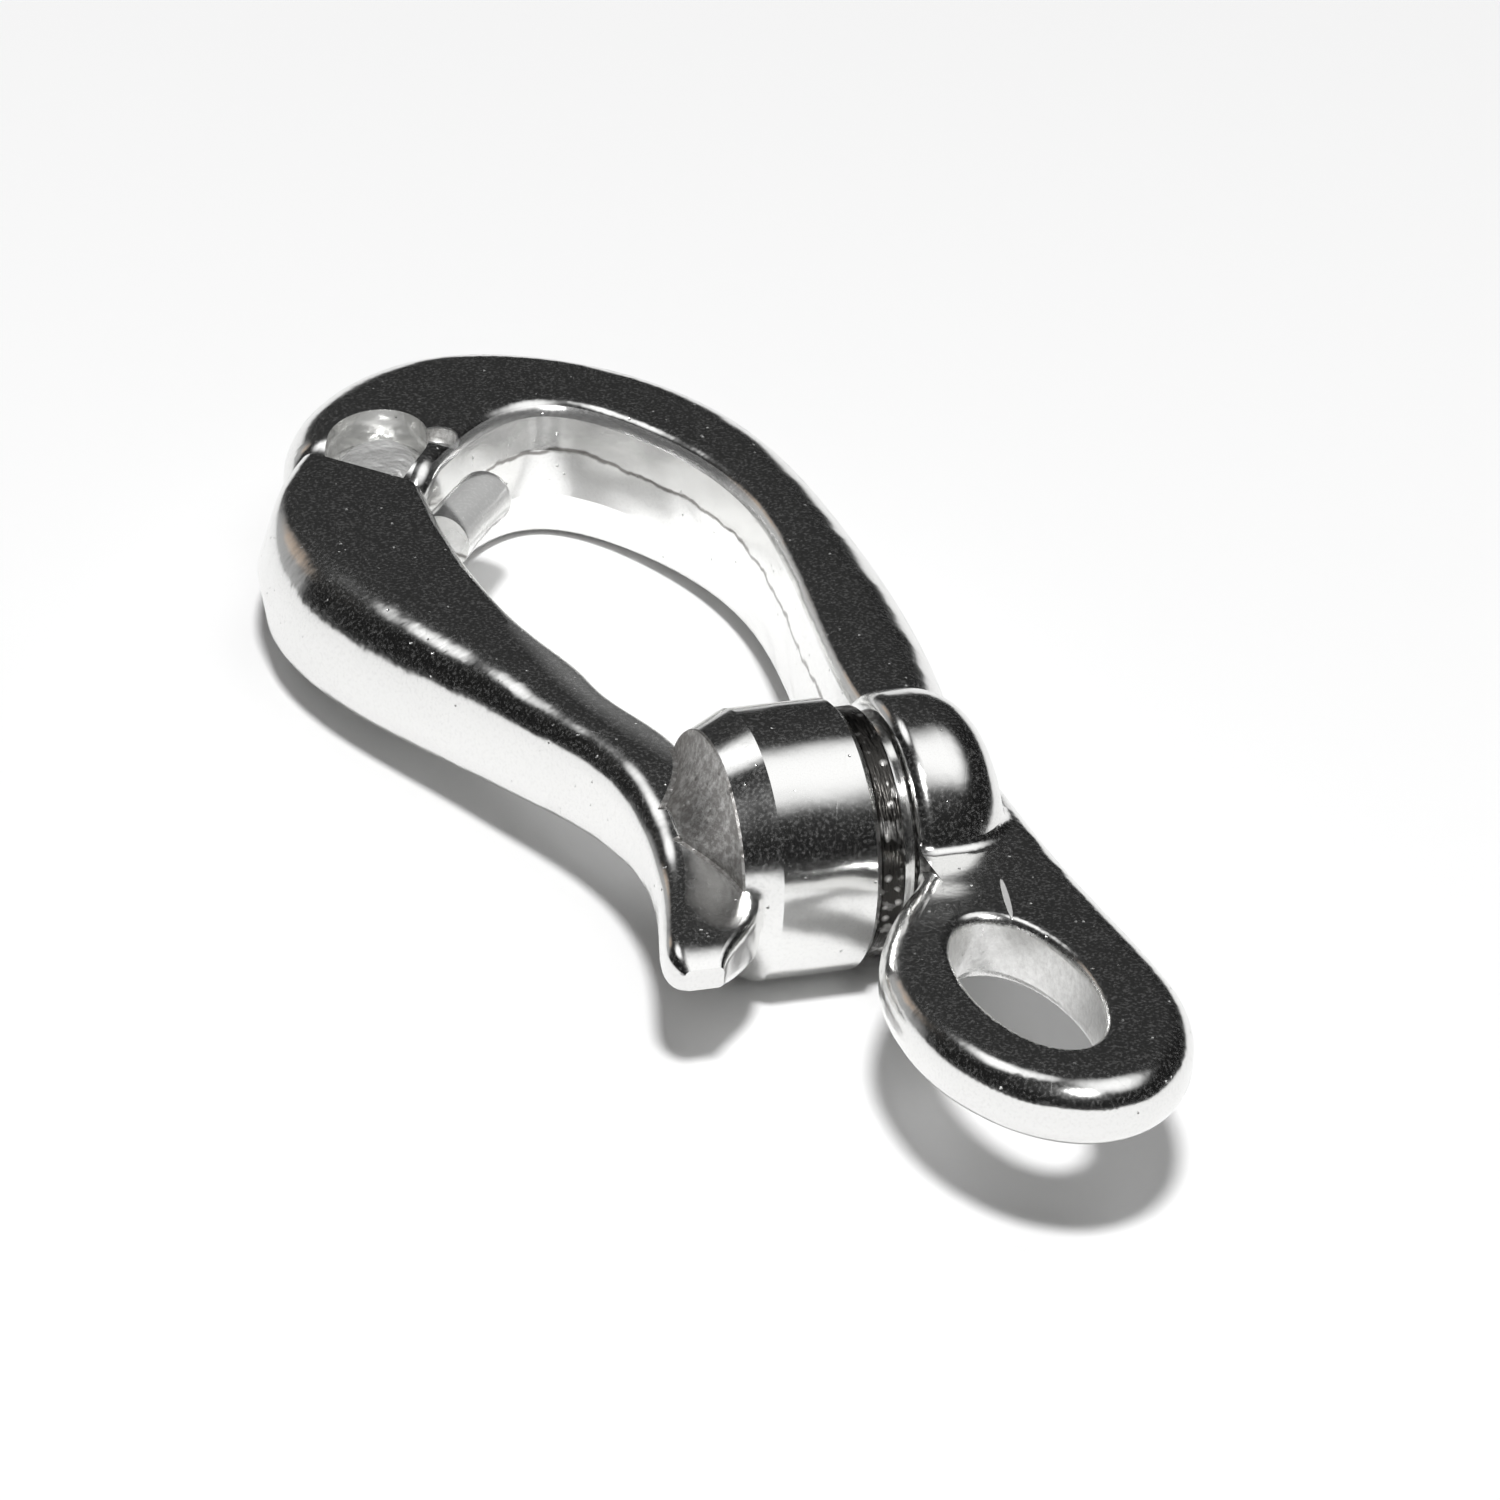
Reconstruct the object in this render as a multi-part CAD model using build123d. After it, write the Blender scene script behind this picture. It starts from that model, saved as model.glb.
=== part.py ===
from build123d import *
import os
from math import atan2, cos, degrees, sin

# Quick-release bow shackle of cast stainless steel. The body carries the fixed eye and most of the bow;
# the gate closes the bow and swings up on a cross pivot, against a torsion spring in the hub.
# Millimetres. +Y runs from the fixed eye to the bow, +X along the pivot, +Z up off the flat of the bow.
# The origin is the centre of the fixed eye. The bow and hub are drawn about the pivot's centre.

# Fixed eye and neck
eye_to_pivot = 18.3
eye_hole_w = 5.5
eye_hole_l = 12.4
eye_w = 12.6
eye_x = 0.3
eye_end = 10.2
eye_bend_y = -0.8
eye_t = 3.3
eye_edge_r = 1.45
eye_hole_r = 0.5
eye_root_r = 0.7
neck_left = -1.8
neck_below = 1.85
neck_right = 6.1
neck_top = 24.3
shoulder_in = 0.6
shoulder_y = 4.0
shoulder_end_x = -0.4
shoulder_sink = 0.75

# Hub: two barrels with a thrust ring between them, and a cavity inside for the spring
pivot_x = -1.4
barrel_d = 12.5
rim_r = 0.3
body_rim_r = 0.8
gate_barrel_x = (-5.6, -0.85)
body_barrel_x = (0.9, 5.9)
body_dome_r = 3.0
gate_cone_x = -7.3
gate_cone_d = 10.9
gate_flare_x = -9.0
gate_flare_d = 4.4
flare_hollow = (-7.8, 3.7)
ring_d = 11.5
ring_wall = 1.4
ring_chamfer = 0.12
boss_t = 0.45
run_gap = 0.05
gate_cavity = 2.6
body_cavity = 1.0

# Pivot pin, bush and retaining dowel
pin_d = 4.2
pin_seat = 3.6
pin_chamfer = 0.3
bush_wall = 0.6
bush_l = 3.0
dowel_d = 1.2
dowel_l = 7.0
dowel_low = -5.4

# Torsion spring
spring_wire = 0.8
spring_d = 6.8
spring_turns = 4
spring_leg = 2.6
spring_gap = 0.4
hole_gap = 0.15

# Bow: the body's arm
arm_h = 7.3
outer_r = 2.8
inner_r = 0.9
inner_draft = 0.4
draft_depth = 2.45
tip_r = 1.5
bow_left = -15.3
bow_top = 50.0
bow_right = 9.1
bow_right_y = 27.0
loop_top = 41.0
loop_right = 3.9
loop_right_y = 23.0
arm_root_left = 2.8
arm_root_right = 5.2
arm_root_y = -1.0

# Gate arm and thumb tail: y, outer x, inner x, underside z, top z, draft and outer corner radius
gate_stations = [
    (42, -14.2, -9.2, -3.65, 3.65, 1.2, 1.2),
    (37, -17.3, -10.2, -3.65, 3.65, 1.2, 1.3),
    (32.5, -19.0, -10.5, -3.65, 3.65, 0.8, 2.0),
    (28, -19.3, -10.8, -3.6, 3.6, 0.3, 2.8),
    (23, -18.3, -10.7, -3.5, 3.5, 0.1, 3.0),
    (18, -16.2, -10.1, -3.3, 3.4, 0.1, 2.8),
    (13, -13.9, -8.8, -2.9, 3.2, 0.1, 2.2),
    (8, -11.8, -7.5, -2.5, 3.0, 0.1, 1.8),
    (3, -10.5, -6.6, -2.3, 2.7, 0.1, 1.6),
    (-2, -10.5, -6.4, -2.2, 1.4, 0.1, 1.4),
    (-6, -11.4, -6.6, -2.2, 0.5, 0.1, 1.1),
    (-9.2, -12.0, -9.0, -1.9, 0.0, 0.1, 0.7),
    (-10.1, -11.6, -9.7, -1.5, -0.5, 0.1, 0.3),
]

# Nose joint: oblique cut, open-topped pocket, tongue and lip finger
cut_inner = (-10.2, 33.7)
cut_outer = (-15.5, 39.7)
cut_gap = 0.4
pocket_at = (-11.2, 38.9)
pocket_w = 5.0
pocket_l = 7.4
pocket_turn = 63
pocket_floor = -0.6
pocket_gap = 0.3
tongue_top = 2.6
tongue_crown = 1.2
tongue_neck_w = 2.6
tongue_neck_l = 4.0
tongue_neck_at = 4.2
seat_gap = 0.05
finger_d = 2.8
finger_z = 1.6
finger_reach = 4.2
finger_root = 2.2
finger_end_r = 0.8
wall_gap = 0.25
recess_d = 1.7
recess_depth = 0.9
recess_at = (-8.1, 38.7)

barrel_low_y = eye_to_pivot - barrel_d / 2
shoulder_end = (shoulder_end_x, barrel_low_y + shoulder_sink)
cut_turn = atan2(cut_outer[1] - cut_inner[1], cut_outer[0] - cut_inner[0])
into_body = (sin(cut_turn), -cos(cut_turn))
wall_next = (-6.5, loop_top - 2.6)
wall_turn = degrees(atan2(wall_next[1] - cut_inner[1], wall_next[0] - cut_inner[0]))
ring_x = (gate_barrel_x[1] + run_gap, body_barrel_x[0] - boss_t - run_gap)
cavity_d = spring_d + spring_wire + 2 * spring_gap
gate_floor_x = gate_barrel_x[1] - gate_cavity
body_floor_x = body_barrel_x[0] + body_cavity
pin_end_x = body_floor_x + bush_l
bush_d = pin_d + 2 * run_gap + 2 * bush_wall


def at_pivot(shape):
    """Moves what is drawn about the pivot's centre to its place by the eye."""
    return Pos(pivot_x, eye_to_pivot, 0) * shape


def slab(edges, height):
    """A flat piece of the given outline, with the plane of the bow at its middle."""
    return Pos(0, 0, -height / 2) * extrude(make_face(edges), height)


def cylinder_x(diameter, x0, x1):
    """A cylinder along X, the pivot's direction."""
    return Pos(x0, 0, 0) * extrude(Plane.YZ * Circle(diameter / 2), x1 - x0)


def turned(*points):
    """A solid turned about the pivot's axis from a profile of x, radius points."""
    return revolve(make_face(Polyline(*points, close=True)), Axis.X)


def on_flats(edges, height):
    """Those of the edges that lie on the two flat faces of a slab of this height."""
    return edges.filter_by(lambda edge: abs(abs((edge @ 0.5).Z) - height / 2) < 0.01)


def at_cut(n, z=0):
    """The inner end of the oblique cut, moved n into the nose, with x along the cut and y out of the nose."""
    x = cut_inner[0] + n * into_body[0]
    y = cut_inner[1] + n * into_body[1]
    return Pos(x, y, z) * Rot(0, 0, degrees(cut_turn))


def body_arm():
    """The bow from the hub over its top to the nose: one height all along, well rounded outside."""
    outer = Spline((arm_root_right, arm_root_y), (bow_right - 1.3, arm_root_y + 11), (bow_right, bow_right_y),
                   (bow_right - 2.2, bow_top - 8.4), (0.3, bow_top - 1.3), (-5.6, bow_top),
                   (bow_left + 3.3, bow_top - 3.3), (bow_left, bow_top - 9))
    inner = Spline(cut_inner, wall_next, (-2.2, loop_top), (loop_right - 1.9, loop_top - 4.4),
                   (loop_right, loop_right_y), (arm_root_left, arm_root_y))
    nose = Line(outer @ 1, cut_outer)
    cut = Line(cut_outer, cut_inner)
    root = Line(inner @ 1, outer @ 0)
    arm = slab([outer, nose, cut, inner, root], arm_h)
    arm = fillet(arm.edges().filter_by(Axis.Z).sort_by(Axis.X)[0], tip_r)
    wall_at = inner @ 0.5
    outer_rims = on_flats(arm.edges(), arm_h).filter_by(
        lambda e: (e @ 0.5).X > wall_at.X + inner_r or (e @ 0.5).X < cut_outer[0] + tip_r / 2)
    arm = fillet(outer_rims, outer_r)
    wall = arm.faces().sort_by_distance(wall_at)[0]
    inner_rims = on_flats(arm.edges(), arm_h).sort_by_distance(wall_at)[:2]
    arm = chamfer(inner_rims, draft_depth, inner_draft, reference=wall)
    return fillet(on_flats(arm.edges(), arm_h).sort_by_distance(wall_at)[:2], inner_r)


def pocket(inset, low, high):
    """The oval of the nose joint, inset all round, from one height to another."""
    oval = extrude(Ellipse(pocket_l / 2 - inset, pocket_w / 2 - inset), high - low)
    return Pos(pocket_at[0], pocket_at[1], low) * Rot(0, 0, pocket_turn) * oval


def eye_plate():
    """The flat eye and the neck that ties it to the body's barrel and arm."""
    left, right = eye_x - eye_w / 2, eye_x + eye_w / 2
    side = Spline((neck_right, neck_top), (neck_right, eye_to_pivot / 2), (right, eye_bend_y),
                  tangents=((0, -1), (0, -1)))
    end = EllipticalCenterArc((eye_x, eye_bend_y), eye_w / 2, eye_end + eye_bend_y, start_angle=180,
                              arc_size=180)
    shoulder = Spline((left, eye_bend_y), (left + shoulder_in, shoulder_y),
                      (neck_left, barrel_low_y - neck_below), shoulder_end, tangents=((0, 1), (0.2, 1)))
    root = Polyline(shoulder_end, (shoulder_end[0], eye_to_pivot), (neck_right / 2, neck_top), side @ 0)
    plate = slab([side, end, shoulder, root], eye_t)
    rims = on_flats(plate.edges(), eye_t).filter_by(lambda e: (e @ 0.5).Y < shoulder_end[1])
    plate = fillet(rims, eye_edge_r)
    plate -= Pos(0, 0, -eye_t) * extrude(Ellipse(eye_hole_w / 2, eye_hole_l / 2), 2 * eye_t)
    return fillet(on_flats(plate.edges(), eye_t).sort_by_distance((0, 0, 0))[:2], eye_hole_r)


def body_barrel():
    """The body's barrel, domed at its outer end, with the boss that the thrust ring runs against."""
    x0, x1 = body_barrel_x
    barrel = cylinder_x(barrel_d, x0, x1)
    barrel = fillet(barrel.edges().filter_by(GeomType.CIRCLE).sort_by(Axis.X)[-1], body_dome_r)
    barrel = fillet(barrel.edges().filter_by(GeomType.CIRCLE).sort_by(Axis.X)[0], body_rim_r)
    return barrel + cylinder_x(ring_d - ring_wall, x0 - boss_t, x1 - body_dome_r)


def spring_hole(x, side):
    """The blind hole in a barrel's wall for a leg of the spring, running to +Y or -Y."""
    hole = extrude(Circle(spring_wire / 2 + hole_gap), spring_leg + hole_gap)
    return Pos(x, 0, -spring_d / 2) * Rot(-90 * side, 0, 0) * hole


def body():
    """The arm, barrel and eye in one casting, with the spring's cavity, the bush's bore and the pocket."""
    hub, plate = at_pivot(body_arm() + body_barrel()), eye_plate()
    solid = hub + plate
    roots = on_flats(new_edges(hub, plate, combined=solid), eye_t)
    solid = fillet(roots.filter_by(lambda e: (e @ 0.5).Y < eye_to_pivot - barrel_d / 4), eye_root_r)
    inside = cylinder_x(cavity_d, ring_x[0], body_floor_x)
    inside += cylinder_x(bush_d, ring_x[0], pin_end_x + run_gap)
    inside += spring_hole(body_floor_x - run_gap - spring_wire / 2, 1)
    inside += across_pin(-barrel_d, dowel_low + dowel_l)
    cut = pocket(0, pocket_floor, arm_h)
    cut += Pos(recess_at[0], recess_at[1], arm_h / 2 - recess_depth) * extrude(Circle(recess_d / 2), arm_h)
    return solid - at_pivot(inside + cut)


def across_pin(low, high):
    """A rod of the dowel's size from one height to another, across the pin's groove and half sunk in it."""
    rod = extrude(Circle(dowel_d / 2), high - low)
    return Pos(pin_end_x - dowel_d, pin_d / 2 + dowel_d / 4, low) * rod


def gate_arm():
    """The curved arm and thumb tail, lofted through the stations and trimmed at the oblique cut."""
    sections = []
    for y, x_out, x_in, z_low, z_high, draft, corner_r in gate_stations:
        x_top, z_mid = x_out + draft, (z_low + z_high) / 2
        section = make_face(Polyline((x_top, z_low), (x_in, z_low), (x_in, z_high), (x_top, z_high),
                                     (x_out, z_mid), close=True))
        section = fillet(section.vertices().sort_by(Axis.X)[1:3], corner_r)
        section = fillet(section.vertices().sort_by(Axis.X)[-2:], min(inner_r, (z_high - z_low) / 4))
        sections.append(Plane((0, y, 0), x_dir=(1, 0, 0), z_dir=(0, -1, 0)) * section)
    cut_plane = Plane(at_cut(-cut_gap).position, z_dir=(*into_body, 0))
    return split(loft(sections), bisect_by=cut_plane, keep=Keep.BOTTOM)


def gate():
    """The gate's arm, barrel, tongue and lip finger, bored for the pin and the spring."""
    x0, x1 = gate_barrel_x
    r = barrel_d / 2
    outline = Polyline((gate_flare_x, gate_flare_d / 2), (gate_flare_x, 0), (x1, 0), (x1, r - rim_r),
                       (x1 - rim_r, r), (x0, r), (gate_cone_x, gate_cone_d / 2))
    flare = ThreePointArc(outline @ 1, flare_hollow, outline @ 0)
    solid = gate_arm() + revolve(make_face([outline, flare]), Axis.X)
    low = pocket_floor + seat_gap
    tongue = pocket(pocket_gap, low, tongue_top)
    tongue = fillet(tongue.edges().group_by(Axis.Z)[-1], tongue_crown)
    neck = Box(tongue_neck_w, tongue_neck_l, tongue_top - low)
    neck = at_cut(0) * Pos(tongue_neck_at, 0, (low + tongue_top) / 2) * neck
    finger = cylinder_x(finger_d, -finger_root, finger_reach)
    finger = fillet(finger.edges().sort_by(Axis.X)[-1], finger_end_r)
    finger = Pos(0, -finger_d / 2 - wall_gap, finger_z) * finger
    finger = Pos(cut_inner[0], cut_inner[1], 0) * Rot(0, 0, wall_turn) * finger
    inside = cylinder_x(cavity_d, gate_floor_x, ring_x[1])
    inside += cylinder_x(pin_d, gate_floor_x - pin_seat, x1)
    inside += spring_hole(gate_floor_x + run_gap + spring_wire / 2, -1)
    return at_pivot(solid + tongue + neck + finger - inside)


def thrust_ring():
    """The plain ring that keeps the two barrels apart."""
    x0, x1 = ring_x
    ring = cylinder_x(ring_d, x0, x1)
    ring = chamfer(ring.edges(), ring_chamfer)
    return at_pivot(ring - cylinder_x(ring_d - 2 * ring_wall, x0, x1))


def pivot_pin():
    """The pin, pressed into the gate and turning in the bush, with a groove for the dowel at its free end."""
    x0, x1, r = gate_floor_x - pin_seat, pin_end_x, pin_d / 2
    groove_r = r - dowel_d / 4 - run_gap
    groove_x0, groove_x1 = x1 - 1.5 * dowel_d - run_gap, x1 - 0.5 * dowel_d + run_gap
    return at_pivot(turned((x0, 0), (x0, r - pin_chamfer), (x0 + pin_chamfer, r), (groove_x0, r),
                           (groove_x0, groove_r), (groove_x1, groove_r), (groove_x1, r),
                           (x1 - pin_chamfer, r), (x1, r - pin_chamfer), (x1, 0)))


def pivot_bush():
    """The plain bearing bush, pressed into the body's barrel round the pin, and notched for the dowel."""
    bush = cylinder_x(bush_d, body_floor_x, pin_end_x)
    bush -= cylinder_x(pin_d + 2 * run_gap, body_floor_x, pin_end_x)
    return at_pivot(bush - across_pin(-barrel_d, barrel_d))


def retaining_dowel():
    """The dowel that holds the pin, driven in from the underside of the barrel."""
    return at_pivot(across_pin(dowel_low, dowel_low + dowel_l))


def torsion_spring():
    """Four coils round the pin, with a straight leg at each end that runs out into a hole in the wall."""
    x0 = gate_floor_x + run_gap + spring_wire / 2
    length = body_floor_x - run_gap - spring_wire / 2 - x0
    helix = Helix(length / spring_turns, length, spring_d / 2)
    first = Line(helix @ 0 - (helix % 0) * spring_leg, helix @ 0)
    last = Line(helix @ 1, helix @ 1 + (helix % 1) * spring_leg)
    wire = Plane(first @ 0, z_dir=first % 0) * Circle(spring_wire / 2)
    return at_pivot(Pos(x0, 0, 0) * Rot(0, 90, 0) * sweep(wire, path=Wire([first, helix, last])))


if __name__ == "__main__":
    os.makedirs("parts", exist_ok=True)
    nodes = {"body": body, "gate": gate, "thrust_ring": thrust_ring, "pivot_pin": pivot_pin,
             "pivot_bush": pivot_bush, "retaining_dowel": retaining_dowel, "torsion_spring": torsion_spring}
    for name, make in nodes.items():
        export_step(make(), f"parts/{name}.step")
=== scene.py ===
import math

import bmesh
import bpy
from mathutils import Matrix, Vector


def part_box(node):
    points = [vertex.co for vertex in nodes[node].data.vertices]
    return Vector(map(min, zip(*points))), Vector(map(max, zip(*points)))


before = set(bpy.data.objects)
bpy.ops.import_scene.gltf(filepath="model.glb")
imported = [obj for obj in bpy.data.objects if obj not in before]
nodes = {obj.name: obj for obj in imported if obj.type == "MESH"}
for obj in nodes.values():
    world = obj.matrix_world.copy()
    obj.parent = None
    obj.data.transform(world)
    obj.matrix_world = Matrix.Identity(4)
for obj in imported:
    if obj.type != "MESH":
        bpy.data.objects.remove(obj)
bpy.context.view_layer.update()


# Body and gate: two investment castings in stainless steel, tumbled and then polished bright, joined by
# the hub's pin. The polish leaves hairline scratches, open pits and a slight ripple. The wheel can't reach
# the nose joint's pocket, the gate's hollow cone or the eye's hole, which keep more of the casting's grain.
class Socket:
    """One output in a tree of shader nodes, so that sums on it add Math nodes."""

    def __init__(self, finish, link):
        self.finish, self.link = finish, link

    def math(self, operation, *others):
        return self.finish.add("ShaderNodeMath", [self, *others], operation=operation)

    def __add__(self, other):
        return self.math("ADD", other)

    def __sub__(self, other):
        return self.math("SUBTRACT", other)

    def __mul__(self, other):
        return self.math("MULTIPLY", other)

    def __rsub__(self, other):
        return self.finish.add("ShaderNodeMath", [other, self], operation="SUBTRACT")

    def __lt__(self, other):
        return self.math("LESS_THAN", other)

    def __gt__(self, other):
        return self.math("GREATER_THAN", other)

    __radd__ = __add__
    __rmul__ = __mul__


class Finish:
    """The nodes of a material, or of the room, with its own shader at their end."""

    def __init__(self, owner, shader="Principled BSDF"):
        owner.use_nodes = True
        self.material, self.tree = owner, owner.node_tree
        self.shader = self.tree.nodes[shader]

    def add(self, kind, inputs=(), output=0, **settings):
        """A node of that kind, its settings made first, then its sockets by place or by name."""
        node = self.tree.nodes.new(kind)
        for name, value in settings.items():
            setattr(node, name, value)
        pairs = inputs.items() if isinstance(inputs, dict) else enumerate(inputs)
        for place, value in pairs:
            self.feed(node.inputs[place], value)
        return Socket(self, node.outputs[output])

    def feed(self, socket, value):
        if isinstance(value, Socket):
            self.tree.links.new(value.link, socket)
        else:
            socket.default_value = value

    def wear(self, place, value):
        """Links or sets one of the shader's own sockets."""
        self.feed(self.shader.inputs[place], value)


def mixed(finish, share, first, second):
    """A colour that goes from the first to the second with the share."""
    return finish.add("ShaderNodeMix", {0: share, 6: first, 7: second}, output=2, data_type="RGBA")


def ranged(finish, value, low, high, first=0.0, second=1.0):
    """A value led from one range to another, and held at its ends."""
    return finish.add("ShaderNodeMapRange", [value, low, high, first, second])


def spots(finish, where, scale, share, size):
    """Round spots, one to a cell in that share of the cells: 1 at a spot's middle, 0 outside it."""
    cell = finish.add("ShaderNodeTexVoronoi", {"Vector": where, "Scale": scale}, output="Distance")
    chance = finish.add("ShaderNodeTexVoronoi", {"Vector": where, "Scale": scale}, output="Color")
    chance = finish.add("ShaderNodeSeparateColor", [chance])
    return ranged(finish, cell, size, 0.0) * (chance < share)


def hairlines(finish, where, turn, length, width, share):
    """Thin scratches in one direction about Z, of about that length and width, over that share."""
    laid = finish.add("ShaderNodeMapping", {"Vector": where, "Rotation": (0.0, 0.0, math.radians(turn)),
                                            "Scale": (width, length, length)}, vector_type="TEXTURE")
    line = finish.add("ShaderNodeTexNoise", {"Vector": laid, "Scale": 1.0, "Detail": 1.0})
    return ranged(finish, line, 1.0 - share, 1.03 - share)


def inside(finish, where, centre, turn, half_sizes):
    """1 inside an ellipsoid at that place and turn about Z, fading to 0 over its rim."""
    laid = finish.add("ShaderNodeMapping", {"Vector": where, "Location": centre,
                                            "Rotation": (0.0, 0.0, math.radians(turn)), "Scale": half_sizes},
                      vector_type="TEXTURE")
    reach = finish.add("ShaderNodeVectorMath", [laid], output="Value", operation="LENGTH")
    return ranged(finish, reach, 1.05, 0.95)


hub = Vector((-0.0014, 0.0183, 0.0))
cast = Finish(bpy.data.materials.new("polished casting"))
where = cast.add("ShaderNodeTexCoord", output="Object")

# the gate's hollow cone: a shallow bowl about the pivot, sunk into the barrel's end, in millimetres
bowl_rim, bowl_throat, bowl_end, bowl_depth = 5.45, 2.1, 7.3, 1.7
about_hub = cast.add("ShaderNodeMapping", {"Vector": where, "Location": hub, "Scale": (0.001, 0.001, 0.001)},
                     vector_type="TEXTURE")
along = cast.add("ShaderNodeSeparateXYZ", [about_hub], output="X")
round_hub = cast.add("ShaderNodeVectorMath", [about_hub, (0.0, 1.0, 1.0)], operation="MULTIPLY")
radius = cast.add("ShaderNodeVectorMath", [round_hub], output="Value", operation="LENGTH")
sunk = (bowl_rim - radius) * 0.31
off_cone = (along + bowl_end + bowl_depth * sunk * sunk).math("ABSOLUTE")
cone = (off_cone < 0.25) * (radius < bowl_rim + 0.05) * (radius > bowl_throat)

# the other places out of the wheel's reach, and the parting line between the eye's hole and the barrel
pocket = inside(cast, where, (-0.0126, 0.0572, 0.0010), 63, (0.0038, 0.0026, 0.0023))
dimple = inside(cast, where, (-0.0095, 0.0570, 0.0036), 0, (0.0010, 0.0010, 0.0012))
finger = inside(cast, where, (-0.0093, 0.0513, 0.0018), -36, (0.0017, 0.0032, 0.0018))
eye_wall = inside(cast, where, (0.0, 0.0, 0.0), 0, (0.0029, 0.0064, 0.01))
seam = inside(cast, where, (0.0018, 0.0074, 0.0016), -13, (0.00014, 0.0018, 0.0004))
rough = (cone + pocket + dimple + 0.5 * eye_wall).math("MINIMUM", 1.0)

# the polish: from the slow swell the wheel leaves, through ripple and grain, down to pits and scratches
swell = cast.add("ShaderNodeTexNoise", {"Vector": where, "Scale": 230.0, "Detail": 1.0})
ripple = cast.add("ShaderNodeTexNoise", {"Vector": where, "Scale": 900.0, "Detail": 2.0})
speckle = cast.add("ShaderNodeTexNoise", {"Vector": where, "Scale": 6500.0, "Detail": 1.0})
grain = cast.add("ShaderNodeTexNoise", {"Vector": where, "Scale": 2600.0, "Detail": 4.0, "Roughness": 0.75})
pits = spots(cast, where, 1300.0, 0.05, 0.13) + spots(cast, where, 3000.0, 0.035, 0.24)
# pits in the hollow cone, sunk in the relief and painted darker below as painted shade
cone_pits = cone * spots(cast, where, 1500.0, 0.4, 0.32)
scratches = (hairlines(cast, where, 35, 0.005, 0.00010, 0.25)
             + hairlines(cast, where, -20, 0.003, 0.00010, 0.26)).math("MINIMUM", 1.0)

# the bow's inner wall is only satin finished; along the edge of its draft a thin dark line is painted into
# its colour, a painted reflection of the table's shadow line
draft_edge = 0.0012
height = cast.add("ShaderNodeSeparateXYZ", [where], output="Z")
loop_wall = (inside(cast, where, (-0.0040, 0.0400, 0.0), 0, (0.0085, 0.0220, 0.1))
             * (height.math("ABSOLUTE") < 0.0034))
off_line = (height - draft_edge + 0.0009 * (swell - 0.5) + 0.0006 * (ripple - 0.5)).math("ABSOLUTE")
painted_reflection_line = loop_wall * ranged(cast, off_line, 0.00016, 0.00004)
# Painted shade: the gate's hollow cone is painted darker, and the pits in it darker still; the unpolished
# places also take a real mottle of casting grain, and the bow's wall its painted dark line.
grain_and_painted_shade = (painted_reflection_line + 0.45 * cone + 0.5 * cone_pits
           + (rough - pocket) * ranged(cast, grain, 0.35, 0.75)).math("MINIMUM", 1.0)
# Painted light: the bow's inner wall is painted paler than the rest of the steel, a painted reflection of the
# white table.
steel_with_painted_wall_light = mixed(cast, loop_wall, (0.85, 0.85, 0.84, 1), (0.95, 0.95, 0.94, 1))
cast.wear("Base Color", mixed(cast, grain_and_painted_shade, steel_with_painted_wall_light, (0.3, 0.29, 0.28, 1)))
satin = 0.06 * ranged(cast, speckle, 0.5, 0.7) + 0.12 * loop_wall + 0.35 * finger + 0.45 * pocket + 0.6 * seam
cast.wear("Metallic", 1 - satin)
cast.wear("Roughness", (0.13 + 0.08 * speckle + 0.04 * scratches + 0.12 * pits + 0.3 * (rough - 0.8 * pocket)
                        + 0.06 * loop_wall).math("MINIMUM", 0.6))
relief = (8.0 * swell + 0.4 * ripple - 1.6 * pits - 0.04 * scratches
          - 2.5 * cone_pits + seam + 16.0 * pocket * ripple + (1.6 * rough + 0.2 * loop_wall) * grain)
cast.wear("Normal", cast.add("ShaderNodeBump", {"Strength": 1.0, "Distance": 0.00003, "Height": relief}))
for name in ("body", "gate"):
    nodes[name].material_slots[0].material = cast.material


# Thrust ring: a plain washer turned from bar and left as it came off the tool.
# It is trapped between the two barrels, so only its rim shows, as a near-black band with pale blotches and
# round pale flecks in its colour, and tool marks in its roughness and relief.
turned = Finish(bpy.data.materials.new("turned ring"))
where = turned.add("ShaderNodeTexCoord", output="Object")
marks = turned.add("ShaderNodeMapping", {"Vector": where, "Scale": (9000.0, 1500.0, 1500.0)})
marks = turned.add("ShaderNodeTexNoise", {"Vector": marks, "Scale": 1.0, "Detail": 2.0})
blotch = turned.add("ShaderNodeTexNoise", {"Vector": where, "Scale": 900.0, "Detail": 3.0})
flecks = spots(turned, where, 2000.0, 0.45, 0.45)
turned.wear("Base Color", mixed(turned, (flecks + ranged(turned, blotch, 0.55, 0.75)).math("MINIMUM", 1.0),
                                (0.05, 0.048, 0.045, 1), (0.8, 0.79, 0.77, 1)))
turned.wear("Metallic", 1.0)
turned.wear("Roughness", ranged(turned, marks, 0.35, 0.65, 0.25, 0.5))
turned.wear("Normal", turned.add("ShaderNodeBump", {"Strength": 0.6, "Distance": 0.00008,
                                                    "Height": marks + blotch + 0.6 * flecks}))
nodes["thrust_ring"].material_slots[0].material = turned.material


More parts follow.
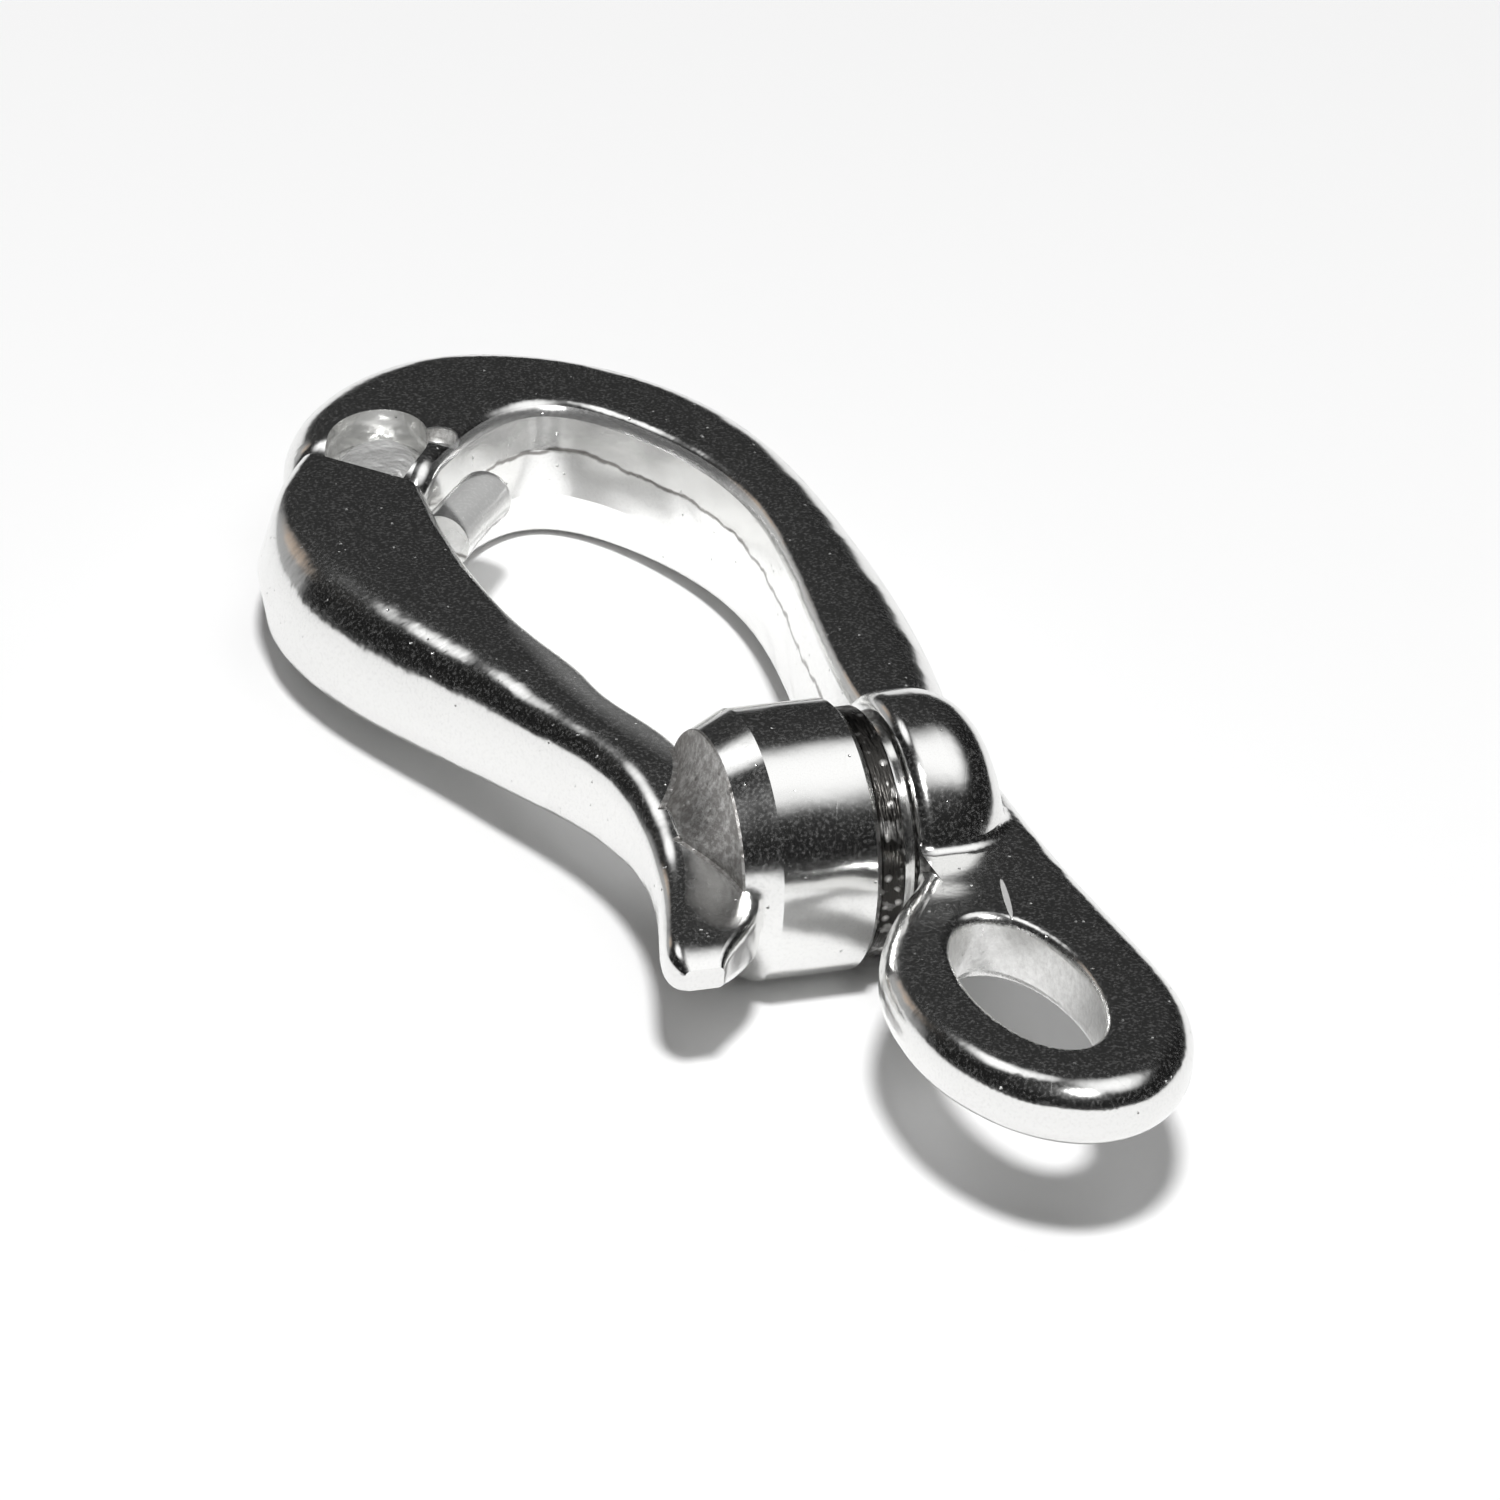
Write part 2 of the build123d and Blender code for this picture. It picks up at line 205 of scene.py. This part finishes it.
# Pivot pin and retaining dowel: hardened steel, ground to size, with fine rings left by the wheel.
# The pin is pressed into the gate and the dowel sits across its groove, driven in from below.
ground = Finish(bpy.data.materials.new("ground steel"))
where = ground.add("ShaderNodeTexCoord", output="Object")
rings = ground.add("ShaderNodeMapping", {"Vector": where, "Scale": (16000.0, 700.0, 700.0)})
rings = ground.add("ShaderNodeTexNoise", {"Vector": rings, "Scale": 1.0, "Detail": 1.0})
ground.wear("Base Color", mixed(ground, rings, (0.5, 0.5, 0.5, 1), (0.7, 0.7, 0.69, 1)))
ground.wear("Metallic", 1.0)
ground.wear("Roughness", ranged(ground, rings, 0.3, 0.7, 0.18, 0.34))
ground.wear("Normal", ground.add("ShaderNodeBump", {"Strength": 0.3, "Distance": 0.00002, "Height": rings}))
for name in ("pivot_pin", "retaining_dowel"):
    nodes[name].material_slots[0].material = ground.material


# Torsion spring: hard-drawn stainless wire, wound round the pin with a leg in each barrel's wall.
# Drawn wire is duller than the castings, with a little oil that has gone brown between the coils.
drawn = Finish(bpy.data.materials.new("drawn wire"))
where = drawn.add("ShaderNodeTexCoord", output="Object")
film = drawn.add("ShaderNodeTexNoise", {"Vector": where, "Scale": 700.0, "Detail": 3.0})
lines = drawn.add("ShaderNodeTexNoise", {"Vector": where, "Scale": 7000.0, "Detail": 1.0})
drawn.wear("Base Color", mixed(drawn, ranged(drawn, film, 0.45, 0.7), (0.58, 0.57, 0.56, 1),
                               (0.3, 0.23, 0.15, 1)))
drawn.wear("Metallic", 1.0)
drawn.wear("Roughness", ranged(drawn, film, 0.3, 0.7, 0.28, 0.42))
drawn.wear("Normal", drawn.add("ShaderNodeBump", {"Strength": 0.4, "Distance": 0.00003, "Height": lines}))
nodes["torsion_spring"].material_slots[0].material = drawn.material


# Pivot bush: a sintered bronze bush pressed into the body, which the pin turns in.
# Sintered metal has open pores that hold its oil, darker than the bronze between them.
bronze = Finish(bpy.data.materials.new("sintered bronze"))
where = bronze.add("ShaderNodeTexCoord", output="Object")
pores = spots(bronze, where, 4500.0, 0.6, 0.35)
bronze.wear("Base Color", mixed(bronze, pores, (0.58, 0.38, 0.18, 1), (0.2, 0.12, 0.06, 1)))
bronze.wear("Metallic", 1.0)
bronze.wear("Roughness", 0.36 + 0.25 * pores)
bronze.wear("Normal", bronze.add("ShaderNodeBump", {"Strength": 0.5, "Distance": 0.00003,
                                                     "Height": 1 - pores}))
nodes["pivot_bush"].material_slots[0].material = bronze.material


# Table: a plain white sheet. The shackle lies on its side and rests on the hub's barrels and on the
# bow's nose, which is thinner, so the table is tilted under it and the eye and tail stand clear.
tilt = math.radians(3.4)
level = Vector((0, -math.sin(tilt), math.cos(tilt)))
bm = bmesh.new()
bmesh.ops.create_grid(bm, x_segments=1, y_segments=1, size=1.6)
bmesh.ops.rotate(bm, verts=bm.verts, cent=(0, 0, 0), matrix=Matrix.Rotation(tilt, 3, "X"))
bmesh.ops.translate(bm, verts=bm.verts, vec=hub + (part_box("gate")[0][2] - 0.00003) * level)
sheet = bpy.data.meshes.new("table")
bm.to_mesh(sheet)
bm.free()
table = bpy.data.objects.new("table", sheet)
bpy.context.collection.objects.link(table)
paper = Finish(bpy.data.materials.new("white sheet"))
paper.wear("Base Color", (0.95, 0.95, 0.95, 1))
paper.wear("Roughness", 0.9)
paper.wear("Specular IOR Level", 0.0)
sheet.materials.append(paper.material)


# Room: dim all round, with two soft windows high up, and white where the camera sees past the table.
# One lamp stands high to one side. A window keeps its strength out to its inner angle, and fades to the
# room at its outer one. The last and smallest is a warm light low down.
def towards(azimuth, elevation):
    """The way from the hub to a place in the room: azimuth from +Y towards +X, elevation off the table."""
    a, e = math.radians(azimuth), math.radians(elevation)
    flat = Vector((math.sin(a) * math.cos(e), math.cos(a) * math.cos(e), math.sin(e)))
    return Matrix.Rotation(tilt, 3, "X") @ flat


lamp = bpy.data.lights.new("ceiling lamp", "AREA")
lamp.shape, lamp.size, lamp.energy = "DISK", 0.17, 13.3
ceiling = bpy.data.objects.new("ceiling lamp", lamp)
bpy.context.collection.objects.link(ceiling)
ceiling.location = hub + 1.2 * towards(201, 62)
ceiling.rotation_mode = "QUATERNION"
ceiling.rotation_quaternion = towards(201, 62).to_track_quat("Z", "Y")

world = bpy.data.worlds.new("room")
bpy.context.scene.world = world
room = Finish(world, "Background")
way = room.add("ShaderNodeTexCoord", output="Generated")
glow = 0.01
for azimuth, elevation, inner, outer, strength in (
        (97, 68, 2, 33, 1.15), (-32, 57, 3, 18, 1.4), (5, 38, 5, 50, 0.02),
        (-28, 2, 4, 22, 0.4), (-26, 19, 2, 9, 0.3)):
    near = room.add("ShaderNodeVectorMath", [way, tuple(towards(azimuth, elevation))], output="Value",
                    operation="DOT_PRODUCT")
    edge, middle = math.cos(math.radians(outer)), math.cos(math.radians(inner))
    fade = room.add("ShaderNodeMapRange", [near, edge, middle], interpolation_type="SMOOTHSTEP")
    glow = strength * fade + glow
seen = room.add("ShaderNodeLightPath", output="Is Camera Ray")
grey = glow * (1 - seen) + seen
warm = (1 - 0.35 * fade) * (1 - seen) + seen
room.wear("Color", room.add("ShaderNodeCombineColor", [grey, grey * (0.45 + 0.55 * warm), grey * warm]))
room.wear("Strength", 1.0)


# Camera: a long lens, close over the table, that looks down the shackle from the eye's end.
azimuth, elevation, roll, distance = math.radians(-21), math.radians(27), math.radians(3), 0.365
back = Vector((math.sin(azimuth) * math.cos(elevation), -math.cos(azimuth) * math.cos(elevation),
               math.sin(elevation)))
across = Vector((math.cos(azimuth), math.sin(azimuth), 0))
over = back.cross(across)
right = math.cos(roll) * across + math.sin(roll) * over
top = math.cos(roll) * over - math.sin(roll) * across
camera = bpy.data.objects.new("camera", bpy.data.cameras.new("camera"))
bpy.context.collection.objects.link(camera)
camera.rotation_mode = "QUATERNION"
camera.rotation_quaternion = Matrix((right, top, back)).transposed().to_quaternion()
camera.location = hub + distance * back
camera.data.sensor_width = 36
camera.data.lens = 192
camera.data.shift_x = -0.07
camera.data.shift_y = 0.054
camera.data.clip_start, camera.data.clip_end = 0.01, 10
bpy.context.scene.camera = camera
bpy.context.scene.view_settings.view_transform = "Standard"
